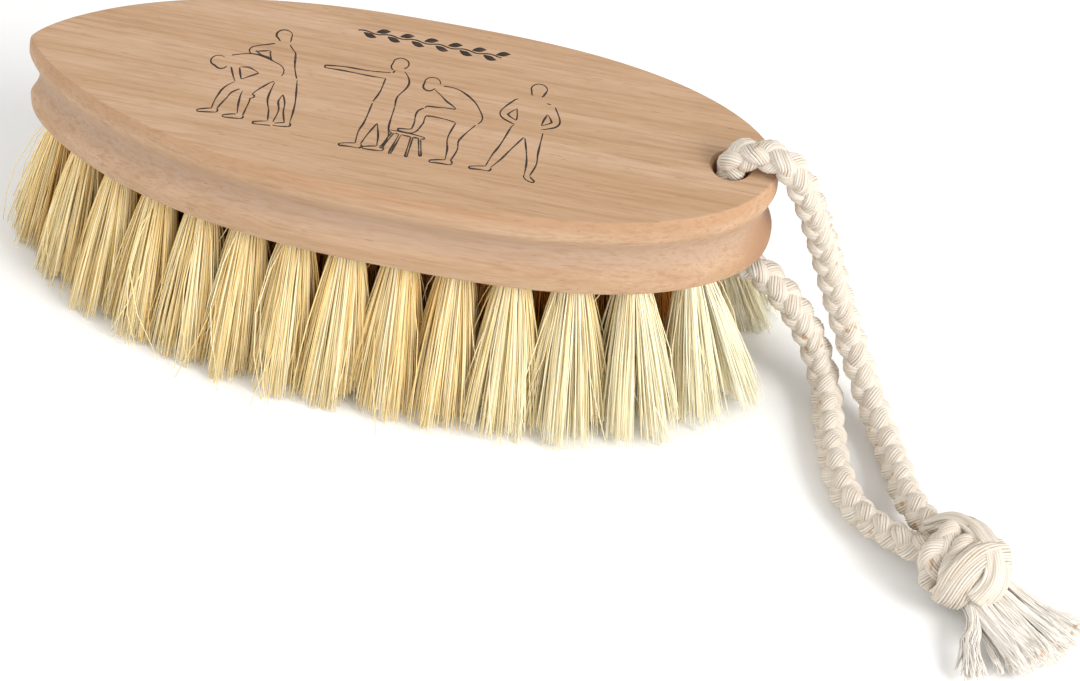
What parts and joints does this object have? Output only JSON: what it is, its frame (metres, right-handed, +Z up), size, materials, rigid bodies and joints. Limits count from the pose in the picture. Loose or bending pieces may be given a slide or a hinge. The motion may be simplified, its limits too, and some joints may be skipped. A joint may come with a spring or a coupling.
{
  "type": "body dry brush",
  "caption": "Palm-sized wooden massage brush: a pointed-oval block with a grooved side, rows of plant fibre tufts below it and a knotted cotton hanging cord.",
  "frame": {"origin": "on the plane of the trimmed fibre tips, below the middle of the block and its tufts", "axes": "+X along the block towards the hanging hole, +Y across the block, +Z up from the fibre tips to the block"},
  "size_m": [0.2113, 0.0982, 0.0564],
  "materials": {
    "pale_hardwood": "fine-sanded bare hardwood",
    "plant_fibre": "combed and trimmed plant fibre",
    "cotton_cord": "round braided undyed cotton"
  },
  "bodies": {
    "brush": {"handle_block": "pale_hardwood", "tuft_outer_01": "plant_fibre", "tuft_outer_02": "plant_fibre", "tuft_outer_03": "plant_fibre", "tuft_outer_04": "plant_fibre", "tuft_outer_05": "plant_fibre", "tuft_outer_06": "plant_fibre", "tuft_outer_07": "plant_fibre", "tuft_outer_08": "plant_fibre", "tuft_outer_09": "plant_fibre", "tuft_outer_10": "plant_fibre", "tuft_outer_11": "plant_fibre", "tuft_outer_12": "plant_fibre", "tuft_outer_13": "plant_fibre", "tuft_outer_14": "plant_fibre", "tuft_outer_15": "plant_fibre", "tuft_outer_16": "plant_fibre", "tuft_outer_17": "plant_fibre", "tuft_outer_18": "plant_fibre", "tuft_outer_19": "plant_fibre", "tuft_outer_20": "plant_fibre", "tuft_outer_21": "plant_fibre", "tuft_outer_22": "plant_fibre", "tuft_outer_23": "plant_fibre", "tuft_outer_24": "plant_fibre", "tuft_outer_25": "plant_fibre", "tuft_outer_26": "plant_fibre", "tuft_outer_27": "plant_fibre", "tuft_inner_01": "plant_fibre", "tuft_inner_02": "plant_fibre", "tuft_inner_03": "plant_fibre", "tuft_inner_04": "plant_fibre", "tuft_inner_05": "plant_fibre", "tuft_inner_06": "plant_fibre", "tuft_inner_07": "plant_fibre", "tuft_inner_08": "plant_fibre", "tuft_inner_09": "plant_fibre", "tuft_inner_10": "plant_fibre", "tuft_inner_11": "plant_fibre", "tuft_inner_12": "plant_fibre", "tuft_inner_13": "plant_fibre", "tuft_inner_14": "plant_fibre", "tuft_inner_15": "plant_fibre", "tuft_inner_16": "plant_fibre", "tuft_inner_17": "plant_fibre", "tuft_inner_18": "plant_fibre", "tuft_inner_19": "plant_fibre", "tuft_inner_20": "plant_fibre", "tuft_centre_01": "plant_fibre", "tuft_centre_02": "plant_fibre", "tuft_centre_03": "plant_fibre", "tuft_centre_04": "plant_fibre", "tuft_centre_05": "plant_fibre", "tuft_centre_06": "plant_fibre"},
    "hanging_loop": {"hanging_cord": "cotton_cord", "cord_knot": "cotton_cord", "frayed_end_long": "cotton_cord", "frayed_end_short": "cotton_cord"}
  },
  "joints": [
    {"name": "loop_swivel", "type": "hinge", "parent": "brush", "child": "hanging_loop", "pos_m": [0.0612, 0, 0.031], "axis": [0, 0, 1], "range_deg": [-30, 30]}
  ]
}
